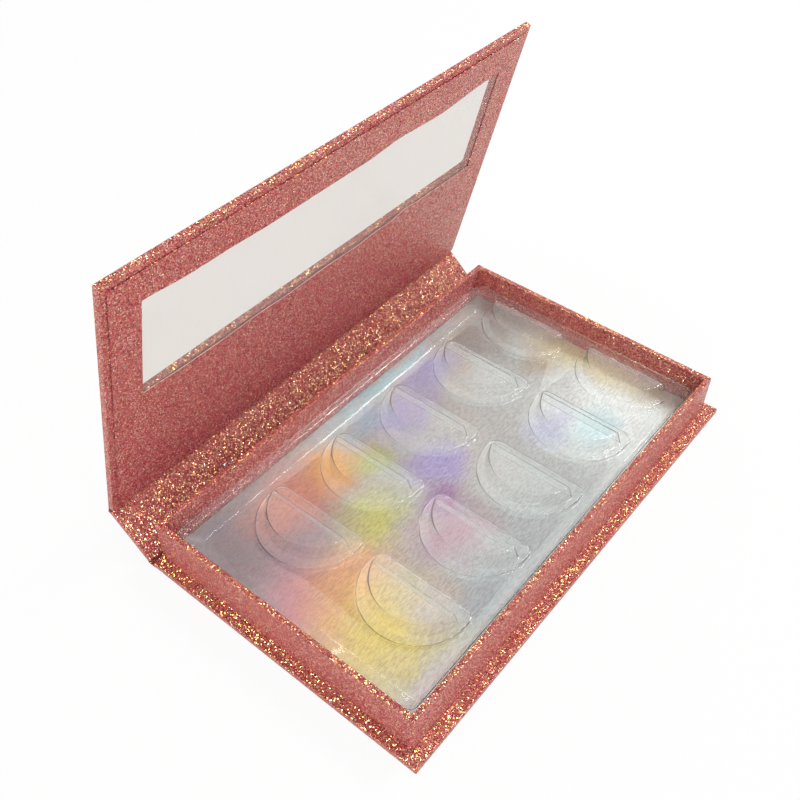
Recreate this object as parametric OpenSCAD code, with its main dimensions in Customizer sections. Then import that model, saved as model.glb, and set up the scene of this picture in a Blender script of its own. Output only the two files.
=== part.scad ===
// False eyelash case: a paper-covered board cover folded round a tray, with a clear seat inlay.
// Origin: centre of the base's underside. +X runs along the hinges, -Y is the opening edge,
// +Y is the hinge edge and +Z is up. The cover is drawn half open, as in the photograph.

/* [Case] */
// Length of the case along its hinges
case_length = 180; // [160:1:200]
// Depth of the base from its front edge to its hinge edge
base_depth = 108.8; // [104:0.2:120]

/* [Sheets] */
// Thickness of the greyboard in the base, spine and lid
board_t = 1.8; // [1.5:0.1:2.4]
// Thickness of the glitter paper, outside and inside
paper_t = 0.25; // [0.15:0.05:0.35]
// Width of the outside paper that is turned in round the panels' edges
turn_in_w = 6; // [4:0.5:8]
// Inset of the inside paper from the panels' edges
liner_inset = 2.3; // [1.5:0.1:3.5]
// Length of the inside paper's tail on the base
liner_tail = 12; // [6:1:20]

/* [Hinges] */
// Height of the fold lines above the cover's outer face
fold_height = 0.35; // [0.3:0.05:0.6]
// Distance from a fold line to the spine board's edge
fold_to_spine = 0.6; // [0.5:0.1:1.2]
// Half the gap that is left between two papers at a fold line
fold_gap = 0.2; // [0.15:0.05:0.3]
// Gap between the closed spine and the base and tray
spine_clearance = 0.3; // [0.2:0.1:1]
// Gap between the closed lid and the tray's rim
lid_clearance = 0.4; // [0.3:0.1:1]
// Angle of the spine back from upright
spine_lean = 50; // [20:1:80]
// Angle of the lid forward from upright
lid_lean = 14.5; // [0:0.5:20]

/* [Window] */
// Width of the lid's window
window_w = 154; // [120:1:158]
// Height of the lid's window
window_h = 40.4; // [30:0.2:50]
// Distance from the lid's front edge to the window
window_front = 13.6; // [13:0.2:20]
// Corner radius of the window
window_r = 1.2; // [0.8:0.1:3]
// Gap from the window's edge to the edge of the inside paper round it
window_liner_gap = 0.3; // [0.1:0.1:0.8]
// Thickness of the window film
film_t = 0.2; // [0.1:0.05:0.3]
// Width of film that is held round the window
film_lap = 5; // [3:0.5:5.5]

/* [Tray] */
// Height of the tray's rim above the base
tray_height = 16.3; // [14.5:0.1:24]
// Thickness of the tray's wall board
tray_wall_t = 1.5; // [1.3:0.1:2.2]
// Thickness of the tray's floor board
tray_floor_t = 2; // [1.5:0.1:2.5]
// Margin of the base beside the tray
side_margin = 4; // [2:0.5:6]
// Margin of the base in front of the tray
front_margin = 4.3; // [2.5:0.1:6]
// Step from the base's hinge edge to the tray's back
back_step = 0.2; // [0:0.1:1]
// Width of the tray paper that is turned in under the floor
tray_turn_in = 12; // [6:1:20]
// Length of each corner tape along a wall
stay_w = 9; // [6:1:14]
// Thickness of the corner tapes
stay_t = 0.15; // [0.1:0.05:0.25]

/* [Magnets] */
// Length of each bar magnet along the front edge
magnet_l = 10; // [6:1:20]
// Width of each bar magnet
magnet_w = 5; // [3:0.5:6]
// Thickness of each bar magnet
magnet_t = 1; // [0.8:0.1:1.1]
// Distance from the middle of the case to each magnet
magnet_x = 60; // [40:1:66]
// Gap round each magnet in its pocket
magnet_fit = 0.05; // [0:0.01:0.1]

/* [Card] */
// Thickness of the holographic card
card_t = 0.35; // [0.25:0.05:0.5]
// Gap between the card's edges and the tray's walls
card_clearance = 0.4; // [0.3:0.1:1]

/* [Inlay] */
// Thickness of the inlay's clear sheet
inlay_t = 0.35; // [0.3:0.05:0.5]
// Gap between the inlay's flange and the tray's walls
inlay_clearance = 0.5; // [0.3:0.1:0.9]
// Height of the flange's top above the card
inlay_height = 6.4; // [5.5:0.1:7]
// Width of the flange
flange_w = 2.2; // [1.5:0.1:3]
// Run of the sloping end walls
end_run = 6; // [4:0.1:7]
// Run of the sloping side walls
side_run = 3.1; // [2.5:0.1:3.8]
// Corner radius of the flange
inlay_r = 5; // [3:0.5:7]

/* [Lash seats] */
// Seats along the case
seat_columns = 5; // [3:1:5]
// Seats across the case
seat_rows = 2; // [1:1:2]
// Distance between seats along the case
seat_pitch_x = 31.8; // [30:0.1:32]
// Distance between seats across the case
seat_pitch_y = 43.8; // [42:0.1:44]
// Offset of the seat pattern from the middle of the inlay
seat_shift = 17; // [14:0.5:17.5]
// Radius of a seat's low step
step_r = 19.3; // [17.5:0.1:19.6]
// Length of the low step behind its arc's centre
step_tail = 4.8; // [3.5:0.1:5]
// Corner radius of the low step's straight side
step_corner_r = 3.5; // [2:0.1:4]
// Height of the low step above the inlay's floor
step_h = 1.75; // [1:0.05:2.5]
// Radius of the raised pad's top
pad_r = 16.5; // [14:0.1:16.8]
// Height of the raised pad above the inlay's floor
pad_h = 6.95; // [5:0.05:7.5]
// Distance from the step's arc centre to the pad's arc centre
pad_offset = 2.1; // [1.5:0.1:2.6]
// Distance from the pad's arc centre to its straight side
pad_chord = 3.9; // [3:0.1:5]
// Draft of the pad's sides
pad_draft = 1; // [0.4:0.1:1.2]

/* [Hidden] */
$fn = 64;
// Overshoot of a cutting tool past the face that it opens
cut = 1;

greyboard = "#9C958A";
glitter = "#C4706F";
lining = "#BE6A6E";

half_len = case_length / 2;
half_depth = base_depth / 2;
board_len = case_length - 2 * paper_t;
board_depth = base_depth - 2 * paper_t;
liner_len = case_length - 2 * liner_inset;
base_top = board_t + 2 * paper_t;

// Layers of the cover, counted inward from its outer face
board_in = paper_t + board_t;
turn_in_top = board_in + paper_t;
spine_in = turn_in_top + paper_t;
film_in = turn_in_top + film_t;
lid_in = film_in + paper_t;

// Fold lines: where the papers bend, in the row of the hinges
base_fold = [0, half_depth + spine_clearance + spine_in - fold_height, fold_height];
rim_z = base_top + tray_height;
spine_length = rim_z + lid_clearance + lid_in - 2 * fold_height;
lid_fold = base_fold + spine_length * [0, sin(spine_lean), cos(spine_lean)];

// The lid runs from its fold line to above the base's front edge when it is closed
lid_start = base_fold[1] - half_depth;
lid_end = base_fold[1] + half_depth;
window_mid = lid_end - window_front - window_h / 2;

// The tray: outside of its paper, then its board, then the space inside
tray_half = half_len - side_margin;
tray_front = -half_depth + front_margin;
tray_back = half_depth - back_step;
tray_mid = (tray_front + tray_back) / 2;
tray_depth = tray_back - tray_front;
wall_skin = tray_wall_t + 2 * paper_t;
inside_half = tray_half - wall_skin;
inside_depth = tray_depth - 2 * wall_skin;
tray_floor_z = base_top + paper_t + tray_floor_t;
card_top = tray_floor_z + card_t;
tray_board_top = rim_z - paper_t;

// The inlay: half sizes of its flange, its mouth and its floor
flange_half = [inside_half - inlay_clearance, inside_depth / 2 - inlay_clearance];
mouth_half = flange_half - [flange_w, flange_w];
floor_half = mouth_half - [end_run, side_run];
inlay_floor = card_top + inlay_t;
flange_top = card_top + inlay_height;
wall_grow = inlay_t * 0.7;
seat_columns_mid = (seat_columns - 1) / 2;
seat_rows_mid = (seat_rows - 1) / 2;

// A box that is centred in X and Y and stands on z0
module slab(size, z0) {
  translate([-size[0] / 2, -size[1] / 2, z0]) cube(size);
}

// A rectangle with round corners, made of straight edges and true arcs
module round_rect(w, h, r) {
  square([w - 2 * r, h], center = true);
  square([w, h - 2 * r], center = true);
  for (x = [-1, 1], y = [-1, 1])
    translate([x * (w / 2 - r), y * (h / 2 - r)]) circle(r);
}

// Places a panel that is drawn upright, with its fold line at the origin
module fold_at(fold, lean) {
  translate(fold) rotate([-lean, 0, 0]) children();
}

// One layer of an upright panel, from s0 to s1 above the fold and t0 to t1 in from the outer face
module layer(w, s0, s1, t0, t1) {
  translate([-w / 2, fold_height - t1, s0]) cube([w, t1 - t0, s1 - s0]);
}

// A window through the layers t0 to t1 of the lid, wider than the opening by grow on each side
module window_cut(grow, t0, t1) {
  translate([0, fold_height - t0, window_mid])
    rotate([90, 0, 0]) linear_extrude(t1 - t0)
      round_rect(window_w + 2 * grow, window_h + 2 * grow, window_r + grow);
}

module base_board() {
  color(greyboard) slab([board_len, board_depth, board_t], paper_t);
}

module base_wrap() {
  // The underside runs on to the fold line behind the base
  under_end = base_fold[1] - fold_gap;
  color(glitter) difference() {
    union() {
      translate([-half_len, -half_depth, 0])
        cube([case_length, base_depth - paper_t, base_top]);
      translate([-half_len, 0, 0]) cube([case_length, under_end, paper_t]);
    }
    slab([board_len, board_depth, board_t], paper_t);
    translate([turn_in_w - half_len, turn_in_w - half_depth, paper_t])
      cube([case_length - 2 * turn_in_w, base_depth, base_top]);
  }
}

module base_liner() {
  // The tail lies between the turned-in papers, then drops down the board's edge to the fold
  tail_w = case_length - 2 * turn_in_w;
  strip_end = base_fold[1] - fold_gap;
  board_edge = half_depth - paper_t;
  color(lining) {
    translate([-tail_w / 2, board_edge - liner_tail, paper_t + board_t])
      cube([tail_w, liner_tail, paper_t]);
    translate([-tail_w / 2, board_edge, paper_t]) cube([tail_w, paper_t, base_top - paper_t]);
    translate([-liner_len / 2, board_edge, paper_t])
      cube([liner_len, strip_end - board_edge, paper_t]);
  }
}

// Bar magnet pockets in the tray's front wall, open at the inside and at the top
module tray_magnet(side, gap) {
  wall_inner = tray_front + paper_t + tray_wall_t;
  translate([side * magnet_x - magnet_l / 2 - gap, wall_inner - magnet_t - gap,
      tray_board_top - magnet_w - gap])
    cube([magnet_l + 2 * gap, magnet_t + gap, magnet_w + gap]);
}

// The corner tapes as solid angles on the tray board's outer corners
module corner_stays(depth) {
  x_out = tray_half - paper_t;
  y_out = tray_depth / 2 - paper_t;
  stay_h = tray_board_top - base_top - paper_t;
  translate([0, tray_mid, base_top + paper_t])
    for (x = [-1, 1], y = [-1, 1]) scale([x, y, 1])
      difference() {
        translate([x_out - stay_w, y_out - stay_w, 0]) cube([stay_w, stay_w, stay_h]);
        translate([x_out - stay_w - cut, y_out - stay_w - cut, -cut])
          cube([stay_w + cut - depth, stay_w + cut - depth, stay_h + 2 * cut]);
      }
}

module tray_shell() {
  z0 = base_top + paper_t;
  difference() {
    translate([0, tray_mid, 0])
      slab([2 * (tray_half - paper_t), tray_depth - 2 * paper_t, tray_board_top - z0], z0);
    translate([0, tray_mid, 0])
      slab([2 * (inside_half + paper_t), inside_depth + 2 * paper_t, rim_z], tray_floor_z);
  }
}

module tray_board() {
  color(greyboard) difference() {
    tray_shell();
    corner_stays(stay_t);
    for (side = [-1, 1]) tray_magnet(side, magnet_fit);
  }
}

module tray_corner_stays() {
  color("#C9B48A") corner_stays(stay_t);
}

module tray_wrap() {
  hole = [2 * (tray_half - tray_turn_in), tray_depth - 2 * tray_turn_in];
  color(glitter) difference() {
    translate([0, tray_mid, 0]) slab([2 * tray_half, tray_depth, rim_z - base_top], base_top);
    tray_shell();
    translate([0, tray_mid, 0]) slab([2 * inside_half, inside_depth, rim_z], tray_floor_z);
    translate([0, tray_mid, 0]) slab([hole[0], hole[1], paper_t + cut], base_top - cut);
  }
}

module tray_magnet_left() {
  color("silver") tray_magnet(-1, 0);
}

module tray_magnet_right() {
  color("silver") tray_magnet(1, 0);
}

module holographic_card() {
  color("#B9B4C8") translate([0, tray_mid, 0])
    slab([2 * (inside_half - card_clearance), inside_depth - 2 * card_clearance, card_t],
      tray_floor_z);
}

// The inlay's sloping dish: grow widens it and drop lowers it, for the underside of the sheet
module dish(grow, drop) {
  z0 = inlay_floor - drop;
  z1 = flange_top - drop;
  low = floor_half + [grow, grow];
  high = mouth_half + [grow, grow];
  intersection() {
    rotate([90, 0, 0]) linear_extrude(base_depth, center = true)
      polygon([[-low[0], z0], [low[0], z0], [high[0], z1], [-high[0], z1]]);
    rotate([90, 0, 90]) linear_extrude(case_length, center = true)
      polygon([[-low[1], z0], [low[1], z0], [high[1], z1], [-high[1], z1]]);
    translate([0, 0, z0]) linear_extrude(z1 - z0)
      round_rect(2 * high[0], 2 * high[1], inlay_r - flange_w + grow);
  }
}

// Outline of a seat's low step: an arc on the outer side and a straight side with round corners
module step_outline(inset) {
  r = step_r - inset;
  tail = step_tail - inset;
  intersection() {
    circle(r);
    translate([-2 * r, -r]) square(2 * r);
  }
  translate([0, -r]) square([tail - step_corner_r, 2 * r]);
  translate([0, step_corner_r - r]) square([tail, 2 * (r - step_corner_r)]);
  for (y = [-1, 1]) translate([tail - step_corner_r, y * (r - step_corner_r)])
    circle(step_corner_r);
}

// One seat, from z0 up: the low step and the raised pad that the lash band lies round
module seat(inset, drop, z0) {
  step_top = inlay_floor + step_h - drop;
  pad_top = inlay_floor + pad_h - drop;
  translate([0, 0, z0]) linear_extrude(step_top - z0) step_outline(inset);
  translate([pad_offset, 0, 0]) intersection() {
    translate([0, 0, z0]) union() {
      cylinder(h = step_top - z0, r = pad_r + pad_draft - inset);
      translate([0, 0, step_top - z0])
        cylinder(h = pad_top - step_top, r1 = pad_r + pad_draft - inset, r2 = pad_r - inset);
    }
    rotate([90, 0, 0]) linear_extrude(base_depth, center = true)
      polygon([[-case_length, z0 - cut], [pad_draft - pad_chord - inset, z0 - cut],
        [pad_draft - pad_chord - inset, step_top], [-pad_chord - inset, pad_top],
        [-pad_chord - inset, pad_top + cut], [-case_length, pad_top + cut]]);
  }
}

module seats(inset, drop, z0) {
  for (column = [0 : seat_columns - 1], line = [0 : seat_rows - 1])
    translate([seat_shift + (column - seat_columns_mid) * seat_pitch_x,
        (line - seat_rows_mid) * seat_pitch_y, 0])
      seat(inset, drop, z0);
}

module blister_tray() {
  rim = [2 * flange_half[0], 2 * flange_half[1]];
  color("#E4E6EA", 0.4) translate([0, tray_mid, 0]) difference() {
    union() {
      difference() {
        translate([0, 0, card_top]) linear_extrude(inlay_height)
          round_rect(rim[0], rim[1], inlay_r);
        dish(0, 0);
      }
      intersection() {
        seats(0, 0, card_top);
        slab([rim[0], rim[1], rim_z], card_top);
      }
    }
    difference() {
      slab([case_length, base_depth, inlay_height + cut - inlay_t], card_top - cut);
      dish(wall_grow, inlay_t);
    }
    seats(wall_grow, inlay_t, card_top - cut);
  }
}

module spine_board() {
  color(greyboard) fold_at(base_fold, spine_lean)
    layer(board_len, fold_to_spine, spine_length - fold_to_spine, paper_t, board_in);
}

module spine_wrap() {
  open_w = case_length - 2 * turn_in_w;
  color(glitter) fold_at(base_fold, spine_lean) difference() {
    union() {
      layer(case_length, fold_gap, spine_length - fold_gap, 0, paper_t);
      layer(case_length, fold_to_spine, spine_length - fold_to_spine, 0, turn_in_top);
    }
    layer(board_len, 0, spine_length, paper_t, board_in);
    layer(open_w, 0, spine_length, paper_t, turn_in_top + cut);
  }
}

module spine_liner() {
  edge = fold_to_spine - paper_t;
  color(lining) fold_at(base_fold, spine_lean) difference() {
    layer(liner_len, edge, spine_length - edge, paper_t, spine_in);
    layer(case_length, fold_to_spine, spine_length - fold_to_spine, 0, turn_in_top);
  }
}

// Bar magnets over those in the tray's wall when the lid is closed
module lid_magnet(side, gap) {
  s_mid = lid_end - front_margin - paper_t - tray_wall_t / 2;
  translate([side * magnet_x, 0, 0])
    layer(magnet_l + 2 * gap, s_mid - magnet_w / 2 - gap, s_mid + magnet_w / 2 + gap,
      board_in - magnet_t - gap, board_in);
}

module lid_board() {
  color(greyboard) fold_at(lid_fold, -lid_lean) difference() {
    layer(board_len, lid_start + paper_t, lid_end - paper_t, paper_t, board_in);
    window_cut(paper_t, 0, lid_in);
    for (side = [-1, 1]) lid_magnet(side, magnet_fit);
  }
}

module lid_wrap() {
  inner_w = case_length - 2 * turn_in_w;
  color(glitter) fold_at(lid_fold, -lid_lean) difference() {
    union() {
      layer(case_length, fold_gap, lid_end, 0, paper_t);
      layer(case_length, lid_start + paper_t, lid_end, 0, turn_in_top);
    }
    difference() {
      layer(board_len, 0, lid_end - paper_t, paper_t, board_in);
      window_cut(paper_t, 0, lid_in);
    }
    difference() {
      layer(inner_w, 0, lid_end - turn_in_w, board_in, turn_in_top + cut);
      window_cut(turn_in_w, 0, lid_in);
    }
    window_cut(0, -cut, lid_in);
  }
}

module lid_liner() {
  top = lid_end - liner_inset;
  color(lining) fold_at(lid_fold, -lid_lean) difference() {
    union() {
      layer(liner_len, lid_start, top, film_in, lid_in);
      layer(liner_len, lid_start, lid_start + paper_t, paper_t, lid_in);
      layer(liner_len, fold_gap, lid_start, paper_t, 2 * paper_t);
    }
    window_cut(window_liner_gap, 0, lid_in + cut);
  }
}

module window_film() {
  color("#F2F3F4", 0.3) fold_at(lid_fold, -lid_lean)
    translate([0, 0, window_mid])
      layer(window_w + 2 * film_lap, -window_h / 2 - film_lap, window_h / 2 + film_lap,
        turn_in_top, film_in);
}

module lid_magnet_left() {
  color("silver") fold_at(lid_fold, -lid_lean) lid_magnet(-1, 0);
}

module lid_magnet_right() {
  color("silver") fold_at(lid_fold, -lid_lean) lid_magnet(1, 0);
}

base_board();
base_wrap();
base_liner();
tray_board();
tray_corner_stays();
tray_wrap();
tray_magnet_left();
tray_magnet_right();
holographic_card();
blister_tray();
spine_board();
spine_wrap();
spine_liner();
lid_board();
lid_wrap();
lid_liner();
window_film();
lid_magnet_left();
lid_magnet_right();
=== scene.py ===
"""False eyelash case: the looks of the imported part. Lengths are in metres, in the part's frame."""
import math
import random

import bmesh
import bpy
from mathutils import Matrix, Vector


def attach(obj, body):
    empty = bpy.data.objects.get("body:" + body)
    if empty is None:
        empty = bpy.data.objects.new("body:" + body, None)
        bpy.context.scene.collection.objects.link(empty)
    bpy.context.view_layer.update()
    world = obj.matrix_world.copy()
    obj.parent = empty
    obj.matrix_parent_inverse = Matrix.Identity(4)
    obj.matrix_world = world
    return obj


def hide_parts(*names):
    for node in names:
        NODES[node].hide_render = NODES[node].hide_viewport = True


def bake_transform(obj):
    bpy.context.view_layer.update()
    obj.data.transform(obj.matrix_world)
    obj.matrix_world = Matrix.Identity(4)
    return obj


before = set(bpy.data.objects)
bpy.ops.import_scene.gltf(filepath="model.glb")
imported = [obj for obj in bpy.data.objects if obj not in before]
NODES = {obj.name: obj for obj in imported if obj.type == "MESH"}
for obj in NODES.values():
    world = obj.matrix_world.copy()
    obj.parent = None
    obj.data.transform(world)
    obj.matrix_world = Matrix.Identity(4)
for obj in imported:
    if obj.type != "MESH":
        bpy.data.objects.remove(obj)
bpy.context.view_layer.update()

MM = 0.001
X, Y, Z = 0, 1, 2

# ---- sizes of the real case in millimetres, as in the part's source -------------------------------
PAPER = 0.25                        # thickness of the cover paper and of the lining
COVER_THICK = 2.3                   # a board with a paper on both faces
TURN_IN = 6                         # width of the paper's turned-in borders
HALF, LINING_HALF = 90, 87.7        # half the length of the cover, and of the paper inside it
BASE_FRONT, BASE_BACK = -54.4, 54.15
CREASE_GAP = 0.2                    # from a crease to the papers of the panel beside it

TRAY_HALF, TRAY_FRONT, TRAY_BACK, TRAY_RIM = 86, -50.1, 54.2, 18.6
TRAY_WALL, TRAY_FLOOR = 2.0, 4.55   # thickness of a wall with its papers, and height of the floor's top
TRAY_BORDER = 10                    # width of the paper's border on the tray's floor and under it
TRAY_MID = 2.05                     # middle of the tray, from front to back

CARD_TOP = 4.9
SHEET = 0.35                        # thickness of the inlay
INLAY_FLOOR, STEP_TOP, PAD_TOP, FLANGE_TOP = 5.25, 7.0, 12.2, 11.3
FLANGE_HALF, MOUTH_HALF, FLOOR_HALF = (83.5, 49.65), (81.3, 47.45), (75.3, 44.35)
LIP, CORNER = 2.2, 5                # width of the inlay's flat lip, and radius of its corners
STEP_RADIUS, STEP_TAIL, STEP_CORNER = 19.3, 4.8, 3.5
PAD = (16.5, -3.9, 0.7)             # radius, place of the straight side and round of the corners, at the pad's top
PAD_FOOT = (17.69, -2.71, 0.8)      # and at its foot
PAD_SHIFT = 2.1                     # from the middle of the step's round to the middle of the pad's
FORMED_EDGE = 0.45                  # radius of a formed edge of step and pad
SEATS_MID, SEAT_PITCH, ROW_PITCH = 17, 31.8, 43.8
SEATS_END = 82.5                    # the last two seats end here, inside the sloping end wall

SPINE_LENGTH = 21.05
SPINE_BOARD_GAP = 0.6               # from a crease to the spine's board
LID_HEIGHT, LID_BOARD_LOW = 111.3, 2.75
WINDOW_HALF, WINDOW_LOW, WINDOW_HIGH, WINDOW_ROUND = 77, 57.3, 97.7, 1.2
FILM_SHEET = 0.2                    # thickness of the window film, which lies under the lining
LINING_TOP = 109.0
GUTTER_START = 0.45                 # from the upper crease to the lining of the lid

# The spine and the lid are modelled upright, with the fold line at the origin: Z runs up the panel from the fold,
# and -Y is the inside. stand() then puts them at their place and lean.
FOLD = 0.35                         # from the outside of the cover in to the line that it folds about
BASE_CREASE_Y = 56.9
BASE_FOLD = Vector((0, BASE_CREASE_Y, FOLD))
UPRIGHT, SPINE_LEAN, LID_LEAN = math.radians(90), math.radians(50), math.radians(-14.5)
LID_FOLD = BASE_FOLD + SPINE_LENGTH * Vector((0, math.sin(SPINE_LEAN), math.cos(SPINE_LEAN)))
SPINE_AT = Matrix.Translation(BASE_FOLD * MM) @ Matrix.Rotation(-SPINE_LEAN, 4, "X")
LID_AT = Matrix.Translation(LID_FOLD * MM) @ Matrix.Rotation(-LID_LEAN, 4, "X")


# ---- small helpers for modelling by hand ----------------------------------------------------------
TOUCH = 2e-6    # a corner this near to a place, in metres, lies on it
FAR = 95        # where a cutter ends that goes through all of a piece, in millimetres
OVERRUN = 0.1   # how far a cut runs past the edge of the paper, in millimetres


def start_clean():
    """Leave edit mode with nothing selected, so that the next operator acts on the new piece alone."""
    if bpy.context.object and bpy.context.object.mode != "OBJECT":
        bpy.ops.object.mode_set(mode="OBJECT")
    bpy.ops.object.select_all(action="DESELECT")


def only(piece):
    """Select one piece and make it the active one."""
    start_clean()
    piece.select_set(True)
    bpy.context.view_layer.objects.active = piece
    return piece


def edit(piece):
    """Open one piece in edit mode."""
    only(piece)
    bpy.ops.object.mode_set(mode="EDIT")


def place(piece):
    """Put the piece's place and size into its mesh."""
    only(piece)
    bpy.ops.object.transform_apply(location=True, rotation=True, scale=True)
    return piece


def pick(piece, kind, wanted):
    """In edit mode, select just the vertices, edges or faces for which wanted(element) is true."""
    bpy.ops.mesh.select_mode(type={"verts": "VERT", "edges": "EDGE", "faces": "FACE"}[kind])
    bpy.ops.mesh.select_all(action="DESELECT")
    mesh = bmesh.from_edit_mesh(piece.data)
    mesh.normal_update()
    for element in getattr(mesh, kind):
        if wanted(element):
            element.select_set(True)
    mesh.select_flush_mode()
    bmesh.update_edit_mesh(piece.data)


def lies_at(edge, axis, value):
    """True for an edge that lies wholly at one place on an axis, in millimetres."""
    return all(abs(v.co[axis] - value * MM) < TOUCH for v in edge.verts)


def runs(edge, axis):
    """True for an edge that runs along an axis."""
    way = edge.verts[1].co - edge.verts[0].co
    return abs(way[axis]) > 0.99 * way.length


def bend_angle(edge):
    """The angle between an edge's two faces, in degrees: 0 where they are flush."""
    return math.degrees(edge.calc_face_angle(0))


def apply_all(piece):
    """Apply all the piece's modifiers."""
    only(piece)
    for modifier in list(piece.modifiers):
        bpy.ops.object.modifier_apply(modifier=modifier.name)
    return piece


def joined(pieces):
    """Join the pieces into the first one, as separate shells of one mesh."""
    only(pieces[0])
    for other in pieces[1:]:
        other.select_set(True)
    bpy.ops.object.join()
    return pieces[0]


def union(piece, other):
    """Boolean-join another closed solid into the piece, and delete it."""
    return combined(piece, "UNION", other)


def less(piece, *cutters):
    """Cut other solids out of the piece, and delete them."""
    for cutter in cutters:
        combined(piece, "DIFFERENCE", cutter)
    return piece


def combined(piece, operation, other):
    """One Boolean of the piece with another solid, which is deleted."""
    modifier = piece.modifiers.new("combined", "BOOLEAN")
    modifier.operation, modifier.solver, modifier.object = operation, "EXACT", other
    apply_all(piece)
    bpy.data.objects.remove(other)
    return piece


def block(low, high, rounded=None, radius=0.4, segments=3):
    """A cuboid in millimetres, with the edges that rounded(edge) names rounded over."""
    start_clean()
    bpy.ops.mesh.primitive_cube_add(size=1, location=[(a + b) / 2 * MM for a, b in zip(low, high)])
    made = bpy.context.object
    made.scale = [(b - a) * MM for a, b in zip(low, high)]
    place(made)
    if rounded:
        edit(made)
        pick(made, "edges", rounded)
        bpy.ops.mesh.bevel(offset=radius * MM, segments=segments, affect="EDGES")
        start_clean()
    return made


def seam(start, end, width=0.14, depth=0.13):
    """A thin square bar between two points in millimetres, to cut a paper seam with."""
    start, end = Vector(start), Vector(end)
    bar = block((-width / 2, -depth, 0), (width / 2, depth, (end - start).length))
    bar.data.transform(Matrix.Translation(start * MM) @ (end - start).to_track_quat("Z", "Y").to_matrix().to_4x4())
    return bar


def stand(piece, at, name):
    """Name a finished panel and put it at its place and lean."""
    start_clean()
    piece.data.transform(at)
    piece.name = name
    return piece


def done(piece, smooth=50):
    """Shade the piece smooth except over sharp edges, with its flat faces kept flat."""
    only(piece)
    bpy.ops.object.shade_smooth_by_angle(angle=math.radians(smooth))
    flat = piece.modifiers.new("flat", "WEIGHTED_NORMAL")
    flat.keep_sharp = True
    return apply_all(piece)


# ---- the clear inlay ------------------------------------------------------------------------------
def d_face(radius, chord, corner, z):
    """A flat D: one point spun round from corner to corner, closed by a straight side, with small round corners."""
    start_clean()
    turn = math.acos(chord / radius)
    bpy.ops.mesh.primitive_plane_add(size=MM, location=(chord * MM, radius * math.sin(turn) * MM, z * MM))
    face = place(bpy.context.object)
    edit(face)
    bpy.ops.mesh.select_mode(type="VERT")
    bpy.ops.mesh.select_all(action="SELECT")
    bpy.ops.mesh.merge(type="CENTER")
    bpy.ops.mesh.spin(steps=40, angle=-2 * (math.pi - turn), center=(0, 0, z * MM), axis=(0, 0, 1))
    bpy.ops.mesh.select_all(action="SELECT")
    bpy.ops.mesh.edge_face_add()
    pick(face, "verts", lambda v: abs(v.co.x - chord * MM) < TOUCH)
    bpy.ops.mesh.bevel(offset=corner * MM, segments=4, affect="VERTICES", clamp_overlap=False)
    start_clean()
    return face


def lash_seat():
    """One lash seat: the low step with its tail, and the raised pad with drafted sides."""
    start_clean()
    below = CARD_TOP - 1
    bpy.ops.mesh.primitive_cylinder_add(vertices=96, radius=STEP_RADIUS * MM, depth=(STEP_TOP - below) * MM,
                                        location=(0, 0, (STEP_TOP + below) / 2 * MM))
    step = place(bpy.context.object)
    edit(step)
    bpy.ops.mesh.select_all(action="SELECT")
    bpy.ops.mesh.bisect(plane_co=(0, 0, 0), plane_no=(1, 0, 0), clear_outer=True, use_fill=True)
    # The tail is drawn out of the cut face, which is the only large one
    pick(step, "faces", lambda f: f.normal.x > 0.9 and f.calc_area() > 50 * MM * MM)
    bpy.ops.mesh.extrude_region_move(TRANSFORM_OT_translate={"value": (STEP_TAIL * MM, 0, 0)})
    pick(step, "edges", lambda e: runs(e, Z) and lies_at(e, X, STEP_TAIL))
    bpy.ops.mesh.bevel(offset=STEP_CORNER * MM, segments=8, affect="EDGES", clamp_overlap=False)
    pick(step, "edges", lambda e: lies_at(e, Z, STEP_TOP) and bend_angle(e) > 60)
    bpy.ops.mesh.bevel(offset=FORMED_EDGE * MM, segments=3, affect="EDGES")
    # The pad is drafted: its foot, which lies inside the step, is wider than its top
    foot = d_face(*PAD_FOOT, STEP_TOP - 1)
    pad = joined([d_face(*PAD, PAD_TOP), foot])
    edit(pad)
    pick(pad, "edges", lambda e: e.is_boundary)
    bpy.ops.mesh.bridge_edge_loops()
    bpy.ops.mesh.select_all(action="SELECT")
    bpy.ops.mesh.normals_make_consistent(inside=False)
    pick(pad, "edges", lambda e: lies_at(e, Z, PAD_TOP) and bend_angle(e) > 40)
    bpy.ops.mesh.bevel(offset=FORMED_EDGE * MM, segments=3, affect="EDGES")
    bpy.ops.mesh.select_all(action="SELECT")
    bpy.ops.transform.translate(value=(PAD_SHIFT * MM, 0, 0))
    start_clean()
    return union(step, pad)


def copy_of(piece, name):
    """A copy with its own mesh."""
    twin = piece.copy()
    twin.data = piece.data.copy()
    twin.name = name
    bpy.context.scene.collection.objects.link(twin)
    return twin


def seats():
    """All ten lash seats, in two rows, as one piece."""
    seat = lash_seat()
    made = []
    for column in range(5):
        for line in (-0.5, 0.5):
            twin = copy_of(seat, "seat")
            twin.data.transform(Matrix.Translation(((SEATS_MID + (column - 2) * SEAT_PITCH) * MM,
                                                    line * ROW_PITCH * MM, 0)))
            made.append(twin)
            if column == 4:
                # The last two seats run into the sloping end wall
                edit(twin)
                bpy.ops.mesh.select_all(action="SELECT")
                bpy.ops.mesh.bisect(plane_co=(SEATS_END * MM, 0, 0), plane_no=(1, 0, 0), clear_outer=True,
                                    use_fill=True)
                start_clean()
    bpy.data.objects.remove(seat)
    return joined(made)


def below_or_outside(face):
    """True for the faces of the inlay's block that aren't its formed skin: its underside, sides and round corners."""
    x, y, z = (abs(value) / MM for value in face.calc_center_median())
    past_x, past_y = x - FLANGE_HALF[0] + OVERRUN, y - FLANGE_HALF[1] + OVERRUN
    at_corner = past_x > -CORNER and past_y > -CORNER and z < FLANGE_TOP - 1
    return z < CARD_TOP - 0.9 or (abs(face.normal.z) < 0.05 and (past_x > 0 or past_y > 0 or at_corner))


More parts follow.
